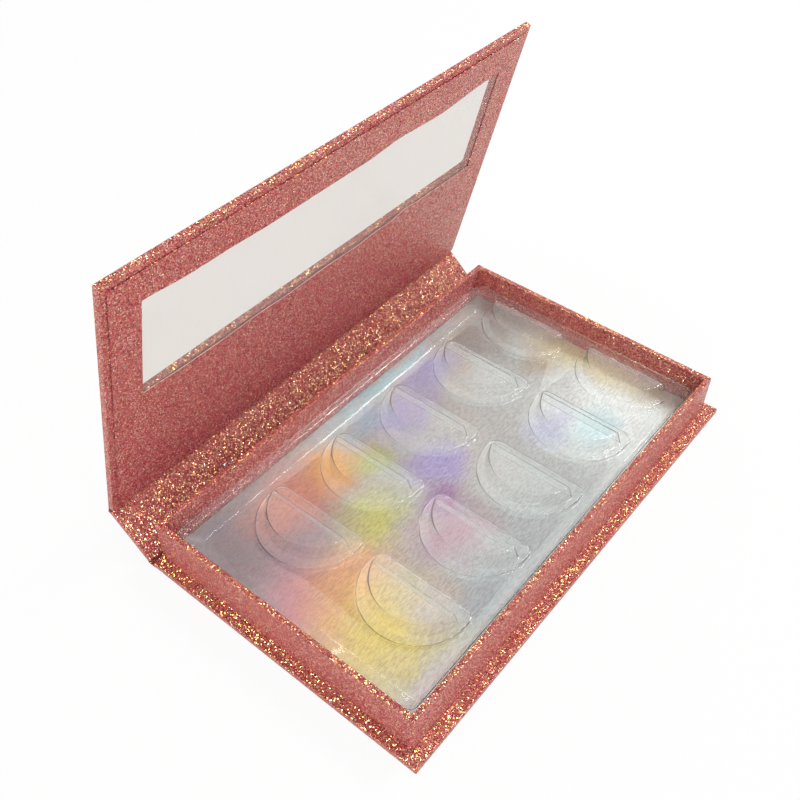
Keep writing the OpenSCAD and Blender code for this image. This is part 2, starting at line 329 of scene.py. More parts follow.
def clear_inlay():
    """The thermoformed inlay: a dished sheet with its lash seats, formed as one skin and then given its thickness."""
    sheet = block((-FLANGE_HALF[0], -FLANGE_HALF[1], CARD_TOP - 1), (FLANGE_HALF[0], FLANGE_HALF[1], FLANGE_TOP),
                  lambda e: runs(e, Z), CORNER, 10)
    sheet.name = "clear_inlay"
    edit(sheet)
    pick(sheet, "faces", lambda f: f.normal.z > 0.9)
    bpy.ops.mesh.inset(thickness=LIP * MM)
    bpy.ops.mesh.extrude_region_move(TRANSFORM_OT_translate={"value": (0, 0, (INLAY_FLOOR - FLANGE_TOP) * MM)})
    bpy.ops.transform.resize(value=(FLOOR_HALF[0] / MOUTH_HALF[0], FLOOR_HALF[1] / MOUTH_HALF[1], 1),
                             center_override=(0, 0, 0))
    pick(sheet, "edges", lambda e: lies_at(e, Z, INLAY_FLOOR))
    bpy.ops.mesh.bevel(offset=1.1 * MM, segments=3, affect="EDGES")
    pick(sheet, "edges", lambda e: lies_at(e, Z, FLANGE_TOP) and bend_angle(e) > 20 and
         abs(e.verts[0].co.x) < (MOUTH_HALF[0] + 0.1) * MM and abs(e.verts[0].co.y) < (MOUTH_HALF[1] + 0.1) * MM)
    bpy.ops.mesh.bevel(offset=0.6 * MM, segments=3, affect="EDGES")
    start_clean()
    union(sheet, seats())
    edit(sheet)
    # The sheet also rounds where it rises out of the floor and out of the steps, up to the end wall
    for height in (INLAY_FLOOR, STEP_TOP):
        pick(sheet, "edges", lambda e: lies_at(e, Z, height) and bend_angle(e) > 60 and e.is_manifold and
             not e.is_convex and max(v.co.x for v in e.verts) < (FLOOR_HALF[0] - 1.3) * MM)
        bpy.ops.mesh.bevel(offset=0.35 * MM, segments=2, affect="EDGES", clamp_overlap=False)
    pick(sheet, "faces", below_or_outside)
    bpy.ops.mesh.delete(type="FACE")
    start_clean()
    sheet.data.transform(Matrix.Translation((0, TRAY_MID * MM, 0)))
    wall = sheet.modifiers.new("wall", "SOLIDIFY")
    wall.thickness, wall.offset, wall.use_even_offset = SHEET * MM, -1, True
    apply_all(sheet)
    return done(sheet, 30)


# ---- the papers -----------------------------------------------------------------------------------
# Each paper is the outside block with its edges rounded over, less the board that it covers, so it stays one sheet of
# its own thickness that fits its board. A cut through the turned-in paper alone goes 0.05 mm into the board's space,
# so that it leaves no skin.
def base_paper():
    """The outside paper of the base: over the underside and three edges, and turned in on the top."""
    sheet = block((-HALF, BASE_FRONT, 0), (HALF, BASE_BACK, COVER_THICK), lambda e: not lies_at(e, Y, BASE_BACK))
    union(sheet, block((-HALF, BASE_BACK - OVERRUN, 0), (HALF, BASE_CREASE_Y - CREASE_GAP, PAPER)))
    less(sheet, block((-HALF + PAPER, BASE_FRONT + PAPER, PAPER), (HALF - PAPER, FAR, COVER_THICK - PAPER)),
         block((-HALF + TURN_IN, BASE_FRONT + TURN_IN, 1), (HALF - TURN_IN, FAR, FAR)))
    for side_of in (-1, 1):
        less(sheet, seam((side_of * (HALF - TURN_IN - OVERRUN), BASE_FRONT + TURN_IN + OVERRUN, COVER_THICK),
                         (side_of * (HALF + OVERRUN), BASE_FRONT - OVERRUN, COVER_THICK)))
    sheet.name = "base_cover_paper"
    return done(sheet)


def tray_block(inset, low, high, rounded=None):
    """A block with the tray's outline, or inset from it all round."""
    return block((-TRAY_HALF + inset, TRAY_FRONT + inset, low), (TRAY_HALF - inset, TRAY_BACK - inset, high), rounded)


def tray_paper():
    """The tray's paper: up the walls outside, over the rim and down inside, with its seams at the corners."""
    sheet = tray_block(0, COVER_THICK, TRAY_RIM, lambda e: runs(e, Z) or lies_at(e, Z, TRAY_RIM))
    board = less(tray_block(PAPER, COVER_THICK + PAPER, TRAY_RIM - PAPER),
                 tray_block(TRAY_WALL - PAPER, TRAY_FLOOR, FAR))
    less(sheet, board, tray_block(TRAY_WALL, TRAY_FLOOR, FAR),
         tray_block(TRAY_WALL + TRAY_BORDER, 0, TRAY_FLOOR + 0.05),
         tray_block(TRAY_WALL + OVERRUN, COVER_THICK + 0.3, TRAY_FLOOR + 0.15))
    edit(sheet)
    pick(sheet, "edges", lambda e: lies_at(e, Z, TRAY_RIM) and bend_angle(e) > 80)
    bpy.ops.mesh.bevel(offset=0.3 * MM, segments=3, affect="EDGES")
    start_clean()
    # The long walls' paper ends on the short walls, 1.5 mm round the corners, and the rim is mitred
    for side_of in (-1, 1):
        for y in (TRAY_FRONT + 1.5, TRAY_BACK - 1.5):
            less(sheet, seam((side_of * TRAY_HALF, y, 2), (side_of * TRAY_HALF, y, TRAY_RIM - 0.4)))
        for y, inwards in ((TRAY_FRONT, 1), (TRAY_BACK, -1)):
            reach = TRAY_WALL + 2 * OVERRUN
            less(sheet, seam((side_of * (TRAY_HALF - reach), y + inwards * reach, TRAY_RIM),
                             (side_of * (TRAY_HALF + OVERRUN), y - inwards * OVERRUN, TRAY_RIM), width=0.12))
    sheet.name = "tray_cover_paper"
    return done(sheet)


def spine_paper():
    """The outside paper of the spine, turned in round both ends of its board."""
    inside = FOLD - COVER_THICK
    into_board = inside + PAPER + 0.05
    sheet = block((-HALF, inside, CREASE_GAP), (HALF, FOLD, SPINE_LENGTH - CREASE_GAP), lambda e: runs(e, Z))
    less(sheet, block((-FAR, -FAR, -FAR), (FAR, FOLD - PAPER, SPINE_BOARD_GAP)),
         block((-FAR, -FAR, SPINE_LENGTH - SPINE_BOARD_GAP), (FAR, FOLD - PAPER, FAR)),
         block((-HALF + PAPER, inside + PAPER, -FAR), (HALF - PAPER, FOLD - PAPER, FAR)),
         block((-HALF + TURN_IN, -FAR, -FAR), (HALF - TURN_IN, into_board, FAR)))
    return stand(done(sheet), SPINE_AT, "spine_cover_paper")


def window_block(grow, inner, outer):
    """A block the shape of the window between two places on Y, for cutting: grow is added all round."""
    return block((-WINDOW_HALF - grow, inner, WINDOW_LOW - grow), (WINDOW_HALF + grow, outer, WINDOW_HIGH + grow),
                 lambda e: runs(e, Y), WINDOW_ROUND + grow, 5)


def lid_paper():
    """The outside paper of the lid: over the face, turned in round three edges and through the window."""
    inside = FOLD - COVER_THICK
    into_board = inside + PAPER + 0.05
    sheet = block((-HALF, inside, CREASE_GAP), (HALF, FOLD, LID_HEIGHT), lambda e: not lies_at(e, Z, CREASE_GAP))
    board = less(block((-HALF + PAPER, inside + PAPER, -FAR), (HALF - PAPER, FOLD - PAPER, LID_HEIGHT - PAPER)),
                 window_block(PAPER, -FAR, FAR))
    opening = less(block((-HALF + TURN_IN, -FAR, -FAR), (HALF - TURN_IN, into_board, LID_HEIGHT - TURN_IN)),
                   window_block(TURN_IN, -FAR - 1, FAR))
    less(sheet, block((-FAR, -FAR, -FAR), (FAR, FOLD - PAPER, LID_BOARD_LOW)), board, opening,
         window_block(0, -FAR, FAR))
    # The border round the window is pressed 0.03 mm flatter than the rest, under the film
    less(sheet, window_block(TURN_IN - 0.5, -FAR, inside + 0.03))
    edit(sheet)
    pick(sheet, "edges", lambda e: bend_angle(e) > 80 and not runs(e, Y) and
         (lies_at(e, Y, FOLD) or lies_at(e, Y, inside)) and
         all(abs(v.co.x) < (WINDOW_HALF + 0.05) * MM and
             (WINDOW_LOW - 0.1) * MM < v.co.z < (WINDOW_HIGH + 0.1) * MM for v in e.verts))
    bpy.ops.mesh.bevel(offset=0.3 * MM, segments=3, affect="EDGES")
    start_clean()
    for side_of in (-1, 1):
        less(sheet, seam((side_of * (HALF - TURN_IN - OVERRUN), inside, LID_HEIGHT - TURN_IN - OVERRUN),
                         (side_of * (HALF + OVERRUN), inside, LID_HEIGHT + OVERRUN)))
    return stand(done(sheet), LID_AT, "lid_cover_paper")


# The hand-cut lower and upper edges of the lining's window: distance along the case, then height up the lid
EDGE_END = 77.3
LOWER_EDGE = [(-EDGE_END, 57.4), (-60, 56.3), (-45, 56.0), (-30, 56.3), (-18, 55.6), (0, 56.0), (15, 55.3), (25, 56.0),
              (33, 55.7), (40, 57.3), (50, 56.5), (70, 56.1), (EDGE_END, 56.2)]
UPPER_EDGE = [(-EDGE_END, 98.0), (-60, 96.6), (-50, 96.5), (-30, 95.8), (10, 95.8), (25, 97.0), (45, 96.0),
              (70, 98.0), (EDGE_END, 98.0)]


def along_edge(points, x):
    """Height of a hand-cut edge at x, smoothly between its points."""
    for (x0, z0), (x1, z1) in zip(points, points[1:]):
        if x <= x1:
            share = max(0.0, (x - x0) / (x1 - x0))
            return z0 + (z1 - z0) * share * share * (3 - 2 * share)
    return points[-1][1]


def window_knife():
    """A block for cutting, whose long sides are the hand-cut lines and waver a little."""
    knife = block((-EDGE_END, -9, 57), (EDGE_END, 9, 98))
    edit(knife)
    pick(knife, "edges", lambda e: runs(e, X))
    bpy.ops.mesh.subdivide(number_cuts=60)
    mesh = bmesh.from_edit_mesh(knife.data)
    middle = (WINDOW_LOW + WINDOW_HIGH) / 2 * MM
    for v in mesh.verts:
        x = v.co.x / MM
        waver = 0.08 * math.sin(x * 1.9) * math.cos(x * 0.6)
        v.co.z = (along_edge(LOWER_EDGE if v.co.z < middle else UPPER_EDGE, x) + waver) * MM
    bmesh.update_edit_mesh(knife.data)
    bpy.ops.mesh.select_all(action="SELECT")
    bpy.ops.mesh.quads_convert_to_tris()
    start_clean()
    return knife


def lid_lining():
    """The inside paper of the lid: a sheet inside the turned-in border, with its hand-cut window."""
    low, face = LID_BOARD_LOW - PAPER, FOLD - COVER_THICK - FILM_SHEET - PAPER
    # The skin of a block whose lower edge is rounded over, as the paper is above the gutter
    sheet = block((-LINING_HALF, face, low), (LINING_HALF, FOLD - PAPER, LINING_TOP),
                  lambda e: lies_at(e, Y, face) and lies_at(e, Z, low), 0.5, 4)
    less(sheet, block((-FAR, face + PAPER, low + PAPER), (FAR, FAR, LINING_TOP + 9)), window_knife())
    union(sheet, block((-LINING_HALF, FOLD - 2 * PAPER, GUTTER_START), (LINING_HALF, FOLD - PAPER, low + OVERRUN)))
    # Where the paper is pressed into the gutter it cracks in two dotted lines
    random.seed(7)
    for height in (0.7, 1.9):
        dashes, x = [], -87.0
        while x < 86:
            run = random.uniform(0.4, 1.6)
            across = height + random.uniform(-0.12, 0.12)
            dashes.append(block((x, FOLD - 0.6, across - 0.12), (x + run, FOLD - 0.42, across + 0.12)))
            x += run + random.uniform(0.5, 1.6)
        less(sheet, joined(dashes))
    return stand(done(sheet), LID_AT, "lid_lining_paper")


COLUMNS = 200   # parts of a crease strip along the case: one bead or hollow of the cracked paper each, 0.9 mm


def crease(name, half, depths, reaches, bead, leans, fold):
    """The strip of paper that bends at a fold, and the two ends of its bend: straight at first, then each line across
    it is turned by its share. depths are its faces, in from the cover's outside, and reaches go before and after the
    fold. The bent paper is cracked into a row of small beads."""
    outer, inner = depths
    before, after = reaches
    lean_before, lean_after = leans
    strip = block((-half, FOLD - inner, -before), (half, FOLD - outer, after))
    edit(strip)
    pick(strip, "edges", lambda e: runs(e, Z))
    bpy.ops.mesh.subdivide(number_cuts=7)
    pick(strip, "edges", lambda e: runs(e, X))
    bpy.ops.mesh.subdivide(number_cuts=COLUMNS - 1)
    start_clean()
    random.seed(name)
    beads = [random.uniform(0.25, 1.0) * (0.3 if column % 2 else 1.0) for column in range(COLUMNS + 2)]
    for v in strip.data.vertices:
        share = (v.co.z / MM + before) / (before + after)
        column = round((v.co.x / MM + half) / (2 * half) * COLUMNS)
        if 0 < column < COLUMNS:
            v.co.y -= bead * beads[column] * math.sin(math.pi * share) * MM
        lean = lean_before + share * (lean_after - lean_before)
        v.co = Matrix.Rotation(-lean, 3, "X") @ v.co + fold * MM
    strip.name = name
    bend = (lean_before - lean_after) / 2
    way = Vector((0, math.sin(lean_before - bend), math.cos(lean_before - bend)))
    reach = min(before, after) * math.cos(bend) + (FOLD - inner) * math.sin(bend)
    return done(strip, 60), [tuple((fold + way * sign * reach) * MM) for sign in (-1, 1)]


# ---- materials ------------------------------------------------------------------------------------
def colour(code, alpha=1.0):
    """An sRGB hex value as linear RGBA."""
    out = []
    for k in (1, 3, 5):
        v = int(code[k:k + 2], 16) / 255
        out.append(v / 12.92 if v <= 0.04045 else ((v + 0.055) / 1.055) ** 2.4)
    return (*out, alpha)


def node(mat, kind, settings=None, links=None, stops=()):
    """Add a node, with its settings: attributes by name, and inputs by name or number. links feed its inputs, and
    stops are the (position, hex) pairs of a colour ramp. A Mix node's A and B are inputs 2 and 3 for numbers, and 6
    and 7 for colours."""
    made = mat.node_tree.nodes.new(kind)
    for key, value in (settings or {}).items():
        if isinstance(key, str) and hasattr(made, key):
            setattr(made, key, value)
        else:
            made.inputs[key].default_value = value
    for key, source in (links or {}).items():
        mat.node_tree.links.new(source, made.inputs[key])
    for position, code in stops[2:]:
        made.color_ramp.elements.new(position)
    for index, (position, code) in enumerate(stops):
        made.color_ramp.elements[index].position = position
        made.color_ramp.elements[index].color = colour(code)
    return made


def material(name):
    """An empty material, and the coordinates of its object."""
    mat = bpy.data.materials.new(name)
    mat.use_nodes = True
    mat.node_tree.nodes.clear()
    return mat, node(mat, "ShaderNodeTexCoord").outputs["Object"]


def surface(mat, shader):
    """Finish a material with its shader."""
    node(mat, "ShaderNodeOutputMaterial", links={"Surface": shader.outputs[0]})
    return mat


ROSE_GROUND = [(0.0, "#8A2E38"), (0.35, "#B24452"), (0.7, "#CA5866"), (1.0, "#DE7280")]
ROSE_FLAKES = [(0.0, "#C04C5A"), (0.3, "#D0606E"), (0.5, "#902C38"), (0.74, "#E48690"), (0.87, "#FFD0CC"),
               (0.94, "#FFDEB8")]
GLINTS = [(0.0, "#FFCE68"), (0.3, "#FFE898"), (0.5, "#FFAC68"), (0.62, "#FFF6D0"), (0.78, "#D6E468"),
          (0.92, "#FFC09C")]
FLAKE, FLAKE_SHARE, FLAKE_TILT = 0.3, 0.75, 1.3


def glitter_paper():
    """Cover paper with glitter flakes set in a lacquer: each cell is one flake with its own colour and tilt. Out of
    the lamp's glint the flakes look rose like the paper, and in it they flash gold, lime and orange. Real flakes are
    0.2 mm; these are 0.3 mm, so that they show in the picture."""
    mat, where = material("rose_gold_glitter_paper")
    cells = node(mat, "ShaderNodeTexVoronoi", {"Scale": 1 / (FLAKE * MM)}, {"Vector": where})
    parts = node(mat, "ShaderNodeSeparateColor", links={0: cells.outputs["Color"]})
    # Soft patches about 9 mm wide, where the flakes lie denser or thinner
    patches = node(mat, "ShaderNodeTexNoise", {"Scale": 1 / (9 * MM), "Detail": 3.0}, {"Vector": where})
    ground_tone = node(mat, "ShaderNodeValToRGB", links={0: parts.outputs[0]}, stops=ROSE_GROUND)
    flake_tone = node(mat, "ShaderNodeValToRGB", links={0: parts.outputs[1]}, stops=ROSE_FLAKES)
    glint_tone = node(mat, "ShaderNodeValToRGB", links={0: parts.outputs[1]}, stops=GLINTS)
    flake_tone.color_ramp.interpolation = glint_tone.color_ramp.interpolation = "CONSTANT"
    lifted = node(mat, "ShaderNodeMath", {"operation": "MULTIPLY_ADD", 1: 0.35, 2: -0.175},
                  {0: patches.outputs[0]})
    chance = node(mat, "ShaderNodeMath", {"operation": "ADD"}, {0: parts.outputs[2], 1: lifted.outputs[0]})
    is_flake = node(mat, "ShaderNodeMath", {"operation": "GREATER_THAN", 1: 1 - FLAKE_SHARE},
                    {0: chance.outputs[0]})
    tone = node(mat, "ShaderNodeMix", {"data_type": "RGBA"},
                {0: is_flake.outputs[0], 6: ground_tone.outputs[0], 7: flake_tone.outputs[0]})
    shine = node(mat, "ShaderNodeMapRange", {"To Min": 0.1, "To Max": 0.8}, {"Value": is_flake.outputs[0]})
    roughness = node(mat, "ShaderNodeMapRange", {"To Min": 0.6, "To Max": 0.12}, {"Value": is_flake.outputs[0]})
    centred = node(mat, "ShaderNodeVectorMath", {"operation": "SUBTRACT", 1: (0.5, 0.5, 0.5)},
                   {0: cells.outputs["Color"]})
    tilted = node(mat, "ShaderNodeVectorMath", {"operation": "SCALE", "Scale": FLAKE_TILT}, {0: centred.outputs[0]})
    facing = node(mat, "ShaderNodeNewGeometry").outputs["Normal"]
    turned = node(mat, "ShaderNodeVectorMath", {"operation": "ADD"}, {0: tilted.outputs[0], 1: facing})
    unit = node(mat, "ShaderNodeVectorMath", {"operation": "NORMALIZE"}, {0: turned.outputs[0]})
    return surface(mat, node(mat, "ShaderNodeBsdfPrincipled", {"IOR": 1.9},
                             {"Base Color": tone.outputs[2], "Specular IOR Level": shine.outputs[0],
                              "Specular Tint": glint_tone.outputs[0], "Roughness": roughness.outputs[0],
                              "Normal": unit.outputs[0]}))


def cut_edge():
    """The cut edge of the paper: its pale core, with a few torn fibres."""
    mat, where = material("paper_cut_edge")
    fibres = node(mat, "ShaderNodeTexNoise", {"Scale": 1 / (0.5 * MM), "Detail": 2.0}, {"Vector": where})
    tone = node(mat, "ShaderNodeValToRGB", links={0: fibres.outputs[0]},
                stops=[(0.35, "#E0A8A0"), (0.65, "#F6DCD4")])
    return surface(mat, node(mat, "ShaderNodeBsdfPrincipled", {"Roughness": 0.8}, {"Base Color": tone.outputs[0]}))


def greyboard():
    """Grey bookbinding board, pressed from waste paper: dull, with small flecks."""
    mat, where = material("greyboard")
    flecks = node(mat, "ShaderNodeTexNoise", {"Scale": 1 / (0.8 * MM), "Detail": 4.0}, {"Vector": where})
    tone = node(mat, "ShaderNodeValToRGB", links={0: flecks.outputs[0]},
                stops=[(0.3, "#7F786E"), (0.7, "#A79F93")])
    bump = node(mat, "ShaderNodeBump", {"Strength": 0.2, "Distance": 0.05 * MM}, {"Height": flecks.outputs[0]})
    return surface(mat, node(mat, "ShaderNodeBsdfPrincipled", {"Roughness": 0.9},
                             {"Base Color": tone.outputs[0], "Normal": bump.outputs[0]}))


def kraft_tape():
    """Brown gummed paper tape: long pale fibres on a smooth sheet."""
    mat, where = material("kraft_tape")
    stretched = node(mat, "ShaderNodeMapping", {"Scale": (1, 1, 6)}, {"Vector": where})
    fibres = node(mat, "ShaderNodeTexNoise", {"Scale": 1 / (1.5 * MM), "Detail": 3.0},
                  {"Vector": stretched.outputs[0]})
    tone = node(mat, "ShaderNodeValToRGB", links={0: fibres.outputs[0]},
                stops=[(0.3, "#A98A5E"), (0.7, "#CDB286")])
    return surface(mat, node(mat, "ShaderNodeBsdfPrincipled", {"Roughness": 0.75},
                             {"Base Color": tone.outputs[0]}))


def plated_magnet():
    """Nickel-plated magnet: a bright metal that is a little dulled by tumbling."""
    mat, where = material("nickel_plated_magnet")
    wear = node(mat, "ShaderNodeTexNoise", {"Scale": 1 / (2 * MM)}, {"Vector": where})
    dull = node(mat, "ShaderNodeMapRange", {"To Min": 0.18, "To Max": 0.38}, {"Value": wear.outputs[0]})
    return surface(mat, node(mat, "ShaderNodeBsdfPrincipled", {"Base Color": colour("#C9C6BF"), "Metallic": 1.0},
                             {"Roughness": dull.outputs[0]}))


def clear_pet():
    """Thermoformed clear PET sheet: glossy, faintly blue-grey, a little wavy. Lamps shine through it."""
    mat, where = material("clear_pet")
    waves = node(mat, "ShaderNodeTexNoise", {"Scale": 1 / (7 * MM), "Detail": 1.0}, {"Vector": where})
    bump = node(mat, "ShaderNodeBump", {"Strength": 0.06, "Distance": 0.1 * MM}, {"Height": waves.outputs[0]})
    glass = node(mat, "ShaderNodeBsdfPrincipled",
                 {"Base Color": colour("#FAFCFB"), "Roughness": 0.03, "IOR": 1.36, "Transmission Weight": 0.95},
                 {"Normal": bump.outputs[0]})
    clear = node(mat, "ShaderNodeBsdfTransparent", {"Color": colour("#FAFBFC")})
    path = node(mat, "ShaderNodeLightPath")
    return surface(mat, node(mat, "ShaderNodeMixShader", links={0: path.outputs["Is Shadow Ray"],
                                                                1: glass.outputs[0], 2: clear.outputs[0]}))


def window_film():
    """Clear polyester film: a little grey and hazy from handling, with soft gloss. Lamps shine through it."""
    mat, where = material("polyester_film")
    waves = node(mat, "ShaderNodeTexNoise", {"Scale": 1 / (18 * MM), "Detail": 2.0}, {"Vector": where})
    bump = node(mat, "ShaderNodeBump", {"Strength": 0.1, "Distance": 0.3 * MM}, {"Height": waves.outputs[0]})
    haze = node(mat, "ShaderNodeValToRGB", links={0: waves.outputs[0]},
                stops=[(0.35, "#F0ECE8"), (0.65, "#EAE2E6")])
    gloss = node(mat, "ShaderNodeBsdfPrincipled", {"Roughness": 0.2, "IOR": 1.5},
                 {"Base Color": haze.outputs[0], "Normal": bump.outputs[0]})
    clear = node(mat, "ShaderNodeBsdfTransparent", {"Color": colour("#F4F2EF")})
    path = node(mat, "ShaderNodeLightPath")
    hazy = node(mat, "ShaderNodeMapRange", {"To Min": 0.11, "To Max": 0.0}, {"Value": path.outputs["Is Shadow Ray"]})
    return surface(mat, node(mat, "ShaderNodeMixShader", links={0: hazy.outputs[0], 1: clear.outputs[0],
                                                                2: gloss.outputs[0]}))


# Soft rainbow patches of the card, with painted reflection. The pastel colours are the foil's own, but where each one
# lies is fixed as the foil showed the lamps from one view. The near-white patches at the right end are painted light
# against the end wall's shade. Place (x, y) and reach (x, y) in millimetres, then the colour
FOIL_GREY = "#CECCC8"
PAINTED_RAINBOW_REFLECTION = [
    ((-10, -36), (66, 22), "#C6C8C8"), ((64, -26), (34, 30), "#FFFFFC"), ((62, 38), (28, 17), "#A89C94"),
    ((-66, 36), (36, 26), "#8A7E90"), ((-52, 22), (18, 15), "#A8949E"), ((-40, 36), (26, 17), "#E0988A"),
    ((-70, 0), (20, 26), "#EE92A4"), ((-54, 2), (22, 15), "#FFC094"), ((-64, -20), (26, 24), "#FFE274"),
    ((-46, -26), (13, 12), "#DCCCC4"), ((-68, -44), (16, 9), "#E6D4D6"), ((-34, -36), (14, 9), "#C6C8CC"),
    ((-23, 35), (15, 12), "#EEB462"), ((-32, 10), (16, 13), "#E2DC80"), ((-14, 27), (10, 8), "#C4D08A"),
    ((0, 40), (14, 9), "#B0CCE0"), ((12, 33), (18, 12), "#B4AEDC"), ((0, 8), (14, 13), "#C2B2E6"),
    ((-12, -4), (10, 9), "#B88CC2"), ((-22, -15), (18, 13), "#CCA6B4"), ((34, 40), (17, 9), "#B4B2E0"),
    ((40, -12), (12, 9), "#CCCCE2"), ((50, -25), (12, 9), "#D8F0F2"), ((68, 9), (13, 11), "#CCB8A0"),
    ((20, 50), (42, 4), "#AED8E4"), ((79, -6), (10, 32), "#FFF6C4"),
]


def holographic_card():
    """Rainbow foil on card: broad soft patches of pastel colour over a satin metal, finely crinkled in streaks. The
    patches are painted reflection: the foil's rainbow, fixed where one view showed it.
    """
    mat, where = material("holographic_foil_card")
    # The borders of the patches wander by up to 11 mm
    warp = node(mat, "ShaderNodeTexNoise", {"Scale": 1 / (14 * MM), "Detail": 7.0, "Roughness": 0.7},
                {"Vector": where})
    centred = node(mat, "ShaderNodeVectorMath", {"operation": "SUBTRACT", 1: (0.5, 0.5, 0.5)},
                   {0: warp.outputs["Color"]})
    shift = node(mat, "ShaderNodeVectorMath", {"operation": "SCALE", "Scale": 22 * MM}, {0: centred.outputs[0]})
    bent = node(mat, "ShaderNodeVectorMath", {"operation": "ADD"}, {0: where, 1: shift.outputs[0]})
    tone = None
    # Painted reflection: each patch lays its colour of the foil's rainbow over the grey, fading out past its reach
    for (x, y), (reach_x, reach_y), code in PAINTED_RAINBOW_REFLECTION:
        local = node(mat, "ShaderNodeMapping",
                     {"vector_type": "TEXTURE", "Location": (x * MM, y * MM, CARD_TOP * MM),
                      "Scale": (reach_x * MM, reach_y * MM, 1)}, {"Vector": bent.outputs[0]})
        away = node(mat, "ShaderNodeVectorMath", {"operation": "LENGTH"}, {0: local.outputs[0]})
        weight = node(mat, "ShaderNodeMapRange",
                      {"interpolation_type": "SMOOTHERSTEP", "From Max": 1.4, "To Min": 0.95, "To Max": 0.0},
                      {"Value": away.outputs["Value"]})
        mixed = node(mat, "ShaderNodeMix", {"data_type": "RGBA", 6: colour(FOIL_GREY), 7: colour(code)},
                     {0: weight.outputs[0]})
        if tone:
            mat.node_tree.links.new(tone, mixed.inputs[6])
        tone = mixed.outputs[2]
    # Streaks about half a millimetre wide and 1.8 mm long, which run slantwise
    slant = node(mat, "ShaderNodeMapping", {"Rotation": (0, 0, math.radians(35)), "Scale": (1, 3.5, 1)},
                 {"Vector": where})
    crinkle = node(mat, "ShaderNodeTexNoise", {"Scale": 1 / (1.8 * MM), "Detail": 5.0, "Roughness": 0.7},
                   {"Vector": slant.outputs[0]})
    shade = node(mat, "ShaderNodeValToRGB", links={0: crinkle.outputs[0]},
                 stops=[(0.36, "#CCCCCC"), (0.6, "#FFFFFF")])
    shaded = node(mat, "ShaderNodeMix", {"data_type": "RGBA", "blend_type": "MULTIPLY", 0: 1.0},
                  {6: tone, 7: shade.outputs[0]})
    bump = node(mat, "ShaderNodeBump", {"Strength": 0.35, "Distance": 0.1 * MM}, {"Height": crinkle.outputs[0]})
    return surface(mat, node(mat, "ShaderNodeBsdfPrincipled", {"Metallic": 0.3, "Roughness": 0.22, "IOR": 1.5},
                             {"Base Color": shaded.outputs[2], "Normal": bump.outputs[0]}))


# ---- the pieces in their finishes -----------------------------------------------------------------
GLITTER, CUT_EDGE, PET = glitter_paper(), cut_edge(), clear_pet()
FINISH = {"board": greyboard(), "wrap": GLITTER, "liner": GLITTER, "stays": kraft_tape(), "magnet": plated_magnet(),
          "card": holographic_card(), "blister_tray": PET, "film": window_film()}
for name, obj in NODES.items():
    obj.data.materials.clear()
    obj.data.materials.append(next(mat for key, mat in FINISH.items() if key in name))


def show_cut_edge(lining):
    """Give the cut edge of the lining's window the pale core of the paper."""
    lining.data.materials.append(CUT_EDGE)
    back = LID_AT.inverted()
    for face in lining.data.polygons:
        middle = back @ face.center / MM
        turned = (back.to_3x3() @ face.normal).z
        if abs(turned) > 0.5 and abs(middle.x) < WINDOW_HALF + 0.2 and 50 < middle.z < 100:
            face.material_index = 1


for make, body, stands_for, slot_name, finish in (
        (clear_inlay, "inlay", "blister_tray", "clear_pet", PET),
        (base_paper, "base", "base_wrap", "glitter_paper", GLITTER),
        (tray_paper, "base", "tray_wrap", "glitter_paper", GLITTER),
        (spine_paper, "spine", "spine_wrap", "glitter_paper", GLITTER),
        (lid_paper, "lid", "lid_wrap", "glitter_paper", GLITTER),
        (lid_lining, "lid", "lid_liner", "lining_paper", GLITTER)):
    piece = make()
    piece.data.materials.append(finish)
    if make is lid_lining:
        show_cut_edge(piece)
    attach(piece, body)
    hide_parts(stands_for)

BACK_CREASE = (("base", "spine"), (UPRIGHT, SPINE_LEAN), BASE_FOLD)
UPPER_CREASE = (("spine", "lid"), (SPINE_LEAN, LID_LEAN), LID_FOLD)
COVER_PAPER, LINING_PAPER = (0, PAPER), (PAPER, 2 * PAPER)
for name, (bodies, leans, fold), half, depths, reaches, bead, slot_name in (
        ("base_fold_cover", BACK_CREASE, HALF, COVER_PAPER, (0.2, 0.2), 0.04, "glitter_paper"),
        ("base_fold_lining", BACK_CREASE, LINING_HALF, LINING_PAPER, (0.2, 0.35), 0.04, "lining_paper"),
        ("lid_fold_cover", UPPER_CREASE, HALF, COVER_PAPER, (0.2, 0.2), 0.04, "glitter_paper"),
        ("lid_fold_lining", UPPER_CREASE, LINING_HALF, LINING_PAPER, (0.35, GUTTER_START), 0.32, "lining_paper")):
    strip, (start, end) = crease(name, half, depths, reaches, bead, leans, fold)
    strip.data.materials.append(GLITTER)
    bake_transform(strip)

# ---- floor, light and camera ----------------------------------------------------------------------
# The floor lies just under the case. The camera sees it as almost plain white, with a little of its shadow.
start_clean()
bpy.ops.mesh.primitive_plane_add(size=6, location=(0, 0, -0.02 * MM))
floor = bpy.context.object
floor.name = "floor"
white = material("white_paper_floor")[0]
path = node(white, "ShaderNodeLightPath")
seen = node(white, "ShaderNodeMath", {"operation": "ADD"},
            {0: path.outputs["Is Camera Ray"], 1: path.outputs["Is Transmission Ray"]})
seen = node(white, "ShaderNodeMath", {"operation": "ADD", "use_clamp": True},
            {0: seen.outputs[0], 1: path.outputs["Is Glossy Ray"]})
share = node(white, "ShaderNodeMath", {"operation": "MULTIPLY", 1: 0.92}, {0: seen.outputs[0]})
matt = node(white, "ShaderNodeBsdfDiffuse", {"Color": colour("#FFFFFF")})
glow = node(white, "ShaderNodeEmission", {"Color": (1, 1, 1, 1), "Strength": 1.0})
surface(white, node(white, "ShaderNodeMixShader",
                    links={0: share.outputs[0], 1: matt.outputs[0], 2: glow.outputs[0]}))
floor.data.materials.append(white)

